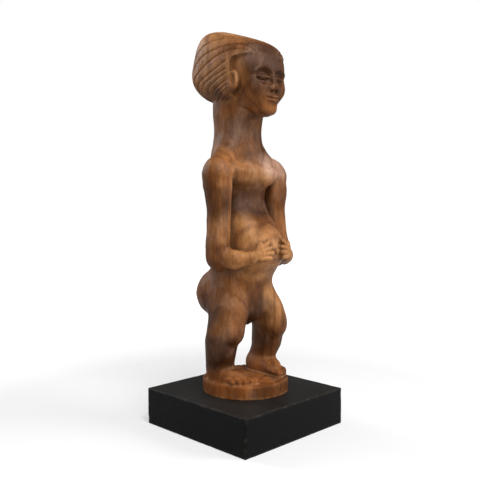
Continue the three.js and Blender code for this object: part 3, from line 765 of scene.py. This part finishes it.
def thin_out(obj, ratio):
    """Leaves the given share of the object's triangles, most of them where the form is busiest."""
    modifier = obj.modifiers.new("thin_out", "DECIMATE")
    modifier.ratio = ratio
    bpy.context.view_layer.update()
    done = bpy.data.meshes.new_from_object(obj.evaluated_get(bpy.context.evaluated_depsgraph_get()))
    obj.modifiers.clear()
    old, obj.data = obj.data, done
    bpy.data.meshes.remove(old)


def read_vectors(items, name):
    """One vector of each item, as rows of numbers."""
    values = np.zeros(len(items) * 3, np.float32)
    items.foreach_get(name, values)
    return values.reshape(-1, 3).astype(float)


def write_attribute(mesh, name, values):
    attribute = mesh.attributes.new(name, "FLOAT", "POINT")
    attribute.data.foreach_set("value", np.clip(values, 0, 1).astype(np.float32))


# How far the highest point of the hair stays below the solid's, in millimetres
CROWN_ROOM = 0.05

# Hollows show in the field a little way out from the surface, at two distances, and edges a little way in
HOLLOW_SHARES = {2.2: 0.55, 9.0: 0.45}
EDGE_MARK = {"inward": -2.4, "strength": 1.6}
# Depths: a groove looks dirty from its start and darkest that much over it, a crack darkest at its mark
GROOVE_MARK = {"start": 0.25, "over": 0.9}
CRACK_MARK = 0.6


def sculpt_figure():
    points, faces = draw_surface(carving, FIELD_LOW, FIELD_HIGH, CELL)
    points, normals = settle(carving, points)
    pressed, _ = relief(points)
    points = points - normals * pressed[:, None]
    points[:, 2] = np.clip(points[:, 2], PLINTH_HEIGHT, cad_box[1][2] / MM - CROWN_ROOM)
    figure = mesh_object("figure_carving", points, faces)
    ratio = FIGURE_TRIANGLES / (2 * len(faces))
    if ratio < 1:
        thin_out(figure, ratio)
    figure.data.shade_smooth()
    return figure


def mark_figure(figure):
    """Attributes that the wood's material reads: hollows, grooves, open cracks, worn edges and patches."""
    mesh = figure.data
    points = read_vectors(mesh.vertices, "co") / MM
    normals = read_vectors(mesh.vertex_normals, "vector")

    def around(distance):
        return at_points(carving, points + normals * distance) / abs(distance)

    hollow = sum(share * (1 - around(distance)) for distance, share in HOLLOW_SHARES.items())
    pressed, open_crack = relief(points)
    # The hollows and grooves mark where the wood gets grime and painted shade, and the cracks where it gets
    # painted shade
    write_attribute(mesh, "recess", hollow)
    write_attribute(mesh, "groove", (pressed - GROOVE_MARK["start"]) / GROOVE_MARK["over"])
    write_attribute(mesh, "crack", open_crack / CRACK_MARK)
    write_attribute(mesh, "edge", EDGE_MARK["strength"] * (1 + around(EDGE_MARK["inward"])))
    point = (points[:, 0], -points[:, 1], points[:, 2])
    for name, spots in PATCHES.items():
        write_attribute(mesh, name, patch_strength(point, spots))


# Materials

# The sockets of a mix node that take its amount and two colours, and the one that gives the result
MIX_INPUTS = (0, 6, 7)
MIX_RESULT = 2
WHITE = (1, 1, 1, 1)


def shade(red, green, blue):
    """A colour given as it looks on screen, from 0 to 255, in Blender's linear light."""
    parts = [c / 255 for c in (red, green, blue)]
    return (*(c / 12.92 if c <= 0.04045 else ((c + 0.055) / 1.055) ** 2.4 for c in parts), 1.0)


class Shader:
    """A node material, built a node at a time."""

    def __init__(self, name):
        self.material = bpy.data.materials.new(name)
        self.material.use_nodes = True
        self.tree = self.material.node_tree
        self.surface = self.tree.nodes["Principled BSDF"]

    def put(self, socket, value):
        if isinstance(value, bpy.types.NodeSocket):
            self.tree.links.new(value, socket)
        else:
            socket.default_value = value

    def add(self, kind, output=0, inputs=None, **settings):
        node = self.tree.nodes.new("ShaderNode" + kind)
        for key, value in settings.items():
            setattr(node, key, value)
        for key, value in (inputs or {}).items():
            self.put(node.inputs[key], value)
        return node.outputs[output]

    def math(self, operation, first, second):
        return self.add("Math", inputs={0: first, 1: second}, operation=operation)

    def total(self, start, masks, amounts):
        """The starting value, changed where the masks are by the amounts given under their names."""
        for name, amount in amounts.items():
            start = self.math("ADD", start, self.math("MULTIPLY", masks[name], amount))
        return start

    def mix(self, amount, first, second, blend="MIX"):
        inputs = dict(zip(MIX_INPUTS, (amount, first, second)))
        return self.add("Mix", output=MIX_RESULT, data_type="RGBA", blend_type=blend, inputs=inputs)

    def lay(self, colour, mask, tint, strength=1.0, blend="MIX"):
        """The colour with a tint laid over it where the mask is."""
        return self.mix(self.math("MULTIPLY", mask, strength), colour, shade(*tint), blend)

    def spread(self, value, low, high, start=0.0, end=1.0):
        """From the start at the low value to the end at the high one."""
        names = ("Value", "From Min", "From Max", "To Min", "To Max")
        return self.add("MapRange", inputs=dict(zip(names, (value, low, high, start, end))))

    def place(self, stretch=(1, 1, 1), turn=(0, 0, 0)):
        coordinates = self.add("TexCoord", output="Object")
        return self.add("Mapping", inputs={"Vector": coordinates, "Scale": stretch, "Rotation": turn})

    def noise(self, scale, stretch=(1, 1, 1), detail=3.0, roughness=0.55, distortion=0.0):
        return self.add("TexNoise", inputs={
            "Vector": self.place(stretch), "Scale": scale,
            "Detail": detail, "Roughness": roughness, "Distortion": distortion,
        })

    def pattern(self, between, **settings):
        """A mask from noise: nothing below the first of the two values, full above the second."""
        return self.spread(self.noise(**settings), *between)

    def attribute(self, name):
        return self.add("Attribute", output="Fac", attribute_name=name)

    def bump(self, height, distance, strength):
        return self.add("Bump", inputs={"Height": height, "Distance": distance, "Strength": strength})

    def finish(self, **inputs):
        for key, value in inputs.items():
            self.put(self.surface.inputs[key.replace("_", " ")], value)
        return self.material


# Patterns of the wood, each drawn out along the upright grain by its stretch
WOOD_PATTERNS = {
    "broad": {"scale": 26, "stretch": (1, 1, 0.45), "detail": 4, "between": (0.36, 0.66)},
    "streaks": {"scale": 150, "stretch": (1, 1, 0.05), "between": (0.42, 0.66)},
    "fibres": {
        "scale": 620, "stretch": (1, 1, 0.09), "detail": 4, "distortion": 0.6, "between": (0.35, 0.68),
    },
    "smoke": {"scale": 60, "detail": 5, "roughness": 0.62, "between": (0.5, 0.78)},
    "wear": {"scale": 110, "between": (0.35, 0.7)},
    "pores": {"scale": 1500, "stretch": (1, 1, 0.07), "detail": 1, "between": (0.64, 0.72)},
}
RINGS = {"Scale": 34, "Distortion": 5.5, "Detail": 3, "Detail Scale": 1.6}
RINGS_PLACE = {"stretch": (1, 1, 0.16), "turn": (0.07, 0.05, 0)}
RINGS_BETWEEN = (0.5, 1.0)
# The edges of the patches are ragged: noise either way of its middle is added before the mask is read
RAGGED = {"scale": 44, "stretch": (1, 1, 0.6), "detail": 5, "roughness": 0.6}
RAGGED_AMOUNT = 1.5
PATCH_BETWEEN = (0.08, 0.98)
RECESS_BETWEEN = (0.12, 0.62)

# Colours as they look on screen, from 0 to 255: the darker and the lighter of the wood and the foot plate
BODY_COLOURS = ((96, 54, 24), (146, 92, 48))
PLATE_COLOURS = ((134, 75, 27), (170, 102, 44))
PLATE_STRENGTH = 0.8
# The paler tint of rubbed wood, which is also painted light on the belly, its side and underside, and on the
# crown
RUBBED_AND_LIT_TINT = {"tint": (186, 132, 82), "strength": 0.85}
# What is then laid over the wood, in this order
WOOD_TINTS = {
    # Dark old wood, and painted shade under the chest, the chin and the coiffure
    "aged_and_shaded": {"tint": (56, 28, 10), "strength": 0.88},
    # Pale dust, and a painted sheen on the upper chest
    "dust_and_sheen": {"tint": (184, 152, 136), "strength": 0.7},
    "streaks": {"tint": (190, 180, 170), "strength": 0.45, "blend": "MULTIPLY"},
    "fibres": {"tint": (180, 166, 150), "strength": 0.5, "blend": "MULTIPLY"},
    "rings": {"tint": (186, 166, 148), "strength": 0.55, "blend": "MULTIPLY"},
    "smoke": {"tint": (158, 138, 122), "strength": 0.55, "blend": "MULTIPLY"},
    "wear": {"tint": (196, 146, 100), "strength": 0.5},
    "pores": {"tint": (120, 100, 88), "strength": 0.6, "blend": "MULTIPLY"},
    # Grime, and painted shade, in the hollows and grooves
    "grime_and_shade": {"tint": (52, 30, 16), "strength": 0.5},
    # Painted shade in the open cracks, darkest where they are deepest
    "crack": {"tint": (20, 12, 8)},
}
WOOD_GLOSS = {"Specular_IOR_Level": 0.22, "Specular_Tint": (1, 0.82, 0.66, 1)}
# Smoke and hands polish the wood, also where light is painted on; it is duller in the grime and painted
# shade, on the foot plate and along the fibres
WOOD_ROUGHNESS = 0.46
ROUGHNESS_CHANGES = {"smoke": -0.05, "rubbed_and_lit": -0.1, "dull": 0.2, "fibres": 0.08}
# Faint hollows, with the fibres and the pores sunk into them
WOOD_HOLLOWS = {"scale": 170, "detail": 4}
WOOD_GRAIN = {"fibres": 0.5, "pores": 0.9}
WOOD_BUMP = {"distance": 0.00025, "strength": 0.8}


def wood_masks(wood):
    """Where each pattern, patch and mark of wear shows in the wood."""
    masks = {name: wood.pattern(**settings) for name, settings in WOOD_PATTERNS.items()}
    uneven = wood.math("MULTIPLY", wood.math("SUBTRACT", wood.noise(**RAGGED), 0.5), RAGGED_AMOUNT)
    for name in PATCHES:
        masks[name] = wood.spread(wood.math("ADD", wood.attribute(name), uneven), *PATCH_BETWEEN)
    inputs = {"Vector": wood.place(**RINGS_PLACE), **RINGS}
    rings = wood.add("TexWave", inputs=inputs, wave_type="RINGS", rings_direction="Z")
    masks["rings"] = wood.spread(rings, *RINGS_BETWEEN)
    masks["wear"] = wood.math("MULTIPLY", wood.attribute("edge"), masks["wear"])
    # Grime and painted shade go into the hollows and grooves
    recess = wood.spread(wood.attribute("recess"), *RECESS_BETWEEN)
    masks["grime_and_shade"] = wood.math("MAXIMUM", recess, wood.attribute("groove"))
    masks["dull"] = wood.math("MAXIMUM", masks["grime_and_shade"], masks["warm"])
    masks["crack"] = wood.attribute("crack")
    return masks


def wood_colour(wood, masks):
    """The wood's own colour, lighter and darker in broad areas, under its tints."""
    body, plate = (
        wood.mix(masks["broad"], shade(*darker), shade(*lighter))
        for darker, lighter in (BODY_COLOURS, PLATE_COLOURS)
    )
    # Rubbed wood and painted light are laid first
    colour = wood.lay(body, masks["rubbed_and_lit"], **RUBBED_AND_LIT_TINT)
    colour = wood.mix(wood.math("MULTIPLY", masks["warm"], PLATE_STRENGTH), colour, plate)
    for name, tint in WOOD_TINTS.items():
        colour = wood.lay(colour, masks[name], **tint)
    return colour


def wood_material():
    """Old hardwood: paler where hands have rubbed it and where light is painted on, dark with age and
    painted shade elsewhere, warm on the foot plate.
    """
    wood = Shader("patinated_wood")
    masks = wood_masks(wood)
    rough = wood.total(WOOD_ROUGHNESS, masks, ROUGHNESS_CHANGES)
    height = wood.math("SUBTRACT", wood.noise(**WOOD_HOLLOWS), wood.total(0.0, masks, WOOD_GRAIN))
    bump = wood.bump(height, **WOOD_BUMP)
    return wood.finish(Base_Color=wood_colour(wood, masks), Roughness=rough, Normal=bump, **WOOD_GLOSS)


PLINTH_PATTERNS = {
    "fibres": {"scale": 520, "stretch": (0.08, 1, 1), "detail": 4, "distortion": 0.4, "between": (0.3, 0.7)},
    "cloud": {"scale": 32, "detail": 4, "between": (0.35, 0.7)},
    "wear": {"scale": 240, "between": (0.45, 0.75)},
}
PLINTH_COLOURS = ((2, 2, 2), (5, 5, 5))
PLINTH_TINTS = {
    "cloud": {"tint": (9, 8, 8), "strength": 0.35},
    "dust": {"tint": (42, 40, 38)},
    "wear": {"tint": (84, 74, 64), "strength": 0.4},
}
# Dust lies unevenly, between two strengths
DUST_STRENGTHS = (0.35, 0.65)
PLINTH_ROUGHNESS = (0.42, 0.58)
PLINTH_BUMP = {"distance": 0.00012, "strength": 0.5}


def plinth_material():
    """Wood stained black and waxed, with a faint grain, dust on the top and slightly rubbed edges."""
    black = Shader("black_stained_wood")
    masks = {name: black.pattern(**settings) for name, settings in PLINTH_PATTERNS.items()}
    normal = black.add("NewGeometry", output="Normal")
    upward = black.math("MAXIMUM", black.add("SeparateXYZ", output="Z", inputs={"Vector": normal}), 0.0)
    masks["dust"] = black.math("MULTIPLY", upward, black.spread(masks["cloud"], 0, 1, *DUST_STRENGTHS))
    masks["wear"] = black.math("MULTIPLY", black.attribute("edge"), masks["wear"])
    colour = black.mix(masks["fibres"], *(shade(*stain) for stain in PLINTH_COLOURS))
    for name, tint in PLINTH_TINTS.items():
        colour = black.lay(colour, masks[name], **tint)
    rough = black.spread(black.math("ADD", masks["fibres"], masks["cloud"]), 0, 2, *PLINTH_ROUGHNESS)
    bump = black.bump(masks["fibres"], **PLINTH_BUMP)
    return black.finish(Base_Color=colour, Roughness=rough, Normal=bump, Specular_IOR_Level=0.12)


# Plinth, in millimetres: how far in its edges are rounded, and how far in they look worn
PLINTH_EDGE = {"round": 1.0, "segments": 4, "worn": 2.5}
PLINTH_STEP = 3.0
DENTS = {"count": 22, "seed": 4, "reach": (1.2, 3.2), "depth": (0.15, 0.5), "least_worn": 0.6}
# An edge of the mesh counts as along an axis from this cosine, and as sharp from this angle in radians
ALONG_AXIS = 0.9
SHARP_ANGLE = 1.0


def runs_along(edge, axis):
    start, end = (vertex.co for vertex in edge.verts)
    return abs((start - end).normalized()[axis]) > ALONG_AXIS


def squared_block(name, low, high):
    """A mesh of a block in millimetres, divided into small squares, with its edges rounded."""
    bm = bmesh.new()
    bmesh.ops.create_cube(bm, size=1.0)
    middle, size = (low + high) / 2, high - low
    for vertex in bm.verts:
        vertex.co = Vector(middle + np.array(vertex.co) * size)
    for axis in range(3):
        edges = [edge for edge in bm.edges if runs_along(edge, axis)]
        bmesh.ops.subdivide_edges(bm, edges=edges, cuts=int(size[axis] / PLINTH_STEP), use_grid_fill=True)
    sharp = [edge for edge in bm.edges if edge.calc_face_angle(0) > SHARP_ANGLE]
    bmesh.ops.bevel(
        bm, geom=sharp, offset=PLINTH_EDGE["round"], segments=PLINTH_EDGE["segments"], profile=0.5,
        affect="EDGES", clamp_overlap=True,
    )
    mesh = bpy.data.meshes.new(name)
    bm.to_mesh(mesh)
    bm.free()
    return mesh


def knocked(points, worn, middle):
    """The points of the block after a few knocks along its edges."""
    rng = np.random.default_rng(DENTS["seed"])
    inward = (middle - points) / np.linalg.norm(middle - points, axis=1, keepdims=True)
    on_edge = points[worn > DENTS["least_worn"]]
    for centre in on_edge[rng.integers(0, len(on_edge), DENTS["count"])]:
        reach, depth = rng.uniform(*DENTS["reach"]), rng.uniform(*DENTS["depth"])
        gap = np.linalg.norm(points - centre, axis=1)
        points = points + inward * (depth * np.exp(-(gap / reach) ** 2))[:, None]
    return points


def build_plinth():
    """A squared block with rounded edges, a little knocked about along them."""
    low, high = (np.array(corner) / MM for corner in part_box("plinth"))
    mesh = squared_block("plinth_block", low, high)
    points = read_vectors(mesh.vertices, "co")
    inset = np.sort(np.minimum(points - low, high - points), axis=1)
    worn = np.clip(1 - inset[:, 1] / PLINTH_EDGE["worn"], 0, 1)
    points = knocked(points, worn, (low + high) / 2)
    points[:, 2] = np.maximum(points[:, 2], low[2])
    mesh.vertices.foreach_set("co", (points * MM).ravel())
    mesh.update()
    mesh.shade_smooth()
    write_attribute(mesh, "edge", worn)
    return show("plinth_block", mesh)


# Studio

# How bright the white surroundings are, and the soft lamps: size and place in metres, power in watts
SURROUNDINGS = 0.2
LAMPS = {
    "top": {"size": 0.7, "power": 17, "place": (-0.3, -0.75, 1.5)},
    "right": {"size": 1.0, "power": 22, "place": (0.9, -1.35, 0.9)},
    "front": {"size": 1.0, "power": 11, "place": (-1.05, -1.05, 0.9)},
    "back": {"size": 1.0, "power": 12, "place": (-0.4, 1.4, 0.9)},
}
LAMP_AIM = Vector((0, 0, 0.2))
# In millimetres
FLOOR_HALF = 4000
FLOOR_LOOK = {"Base_Color": shade(190, 190, 190), "Roughness": 0.9, "Specular_IOR_Level": 0.1}
# The camera sees the floor fade to plain white: near and far distance in metres, and the glow at each
FLOOR_GLOW = (0.28, 0.9, 0.32, 1.0)


def facing(place, aim):
    """The turn that makes a lamp or a camera look at its aim."""
    return (aim - place).to_track_quat("-Z", "Y").to_euler()


def place_camera():
    azimuth = math.radians(CAMERA["azimuth"])
    towards = np.array([math.sin(azimuth), -math.cos(azimuth), 0.0])
    left = np.array([-math.cos(azimuth), -math.sin(azimuth), 0.0]) * CAMERA["left"]
    eye = Vector((towards * CAMERA["away"] + left + np.array([0, 0, CAMERA["up"]])) * MM)
    aim = Vector((left + np.array([0, 0, CAMERA["aim_up"]])) * MM)
    camera = show("camera", bpy.data.cameras.new("camera"))
    camera.data.lens = CAMERA["lens"]
    camera.data.sensor_width = CAMERA["sensor"]
    camera.data.clip_start = CAMERA["nearest"] * MM
    camera.location = eye
    camera.rotation_euler = facing(eye, aim)
    bpy.context.scene.camera = camera


def build_lamps():
    for name, lamp in LAMPS.items():
        light = bpy.data.lights.new(name, "AREA")
        light.shape = "DISK"
        light.size = lamp["size"]
        light.energy = lamp["power"]
        obj = show(name, light)
        obj.location = lamp["place"]
        obj.rotation_euler = facing(obj.location, LAMP_AIM)


def build_floor():
    corners = [(-1, -1, 0), (1, -1, 0), (1, 1, 0), (-1, 1, 0)]
    floor = mesh_object("floor", np.array(corners, float) * FLOOR_HALF, np.array([(0, 1, 2, 3)]))
    paper = Shader("white_floor")
    away = paper.add("VectorMath", output="Value", inputs={0: paper.place()}, operation="LENGTH")
    seen = paper.add("LightPath", output="Is Camera Ray")
    glow = paper.math("MULTIPLY", paper.spread(away, *FLOOR_GLOW), seen)
    floor.data.materials.append(paper.finish(Emission_Color=WHITE, Emission_Strength=glow, **FLOOR_LOOK))


def build_surroundings():
    """White all round: a soft light on the object, and plain white to the camera."""
    world = bpy.data.worlds.new("studio")
    world.use_nodes = True
    tree = world.node_tree
    path = tree.nodes.new("ShaderNodeLightPath")
    strength = tree.nodes.new("ShaderNodeMapRange")
    strength.inputs["To Min"].default_value = SURROUNDINGS
    tree.links.new(path.outputs["Is Camera Ray"], strength.inputs["Value"])
    tree.links.new(strength.outputs["Result"], tree.nodes["Background"].inputs["Strength"])
    tree.nodes["Background"].inputs["Color"].default_value = WHITE
    bpy.context.scene.world = world


def build_studio():
    build_floor()
    build_surroundings()
    build_lamps()
    bpy.context.scene.view_settings.view_transform = "Standard"


place_camera()

figure = sculpt_figure()
mark_figure(figure)
figure.data.materials.append(wood_material())
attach(figure, "root")
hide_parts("figure")

plinth = build_plinth()
plinth.data.materials.append(plinth_material())
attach(plinth, "root")
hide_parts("plinth")

build_studio()
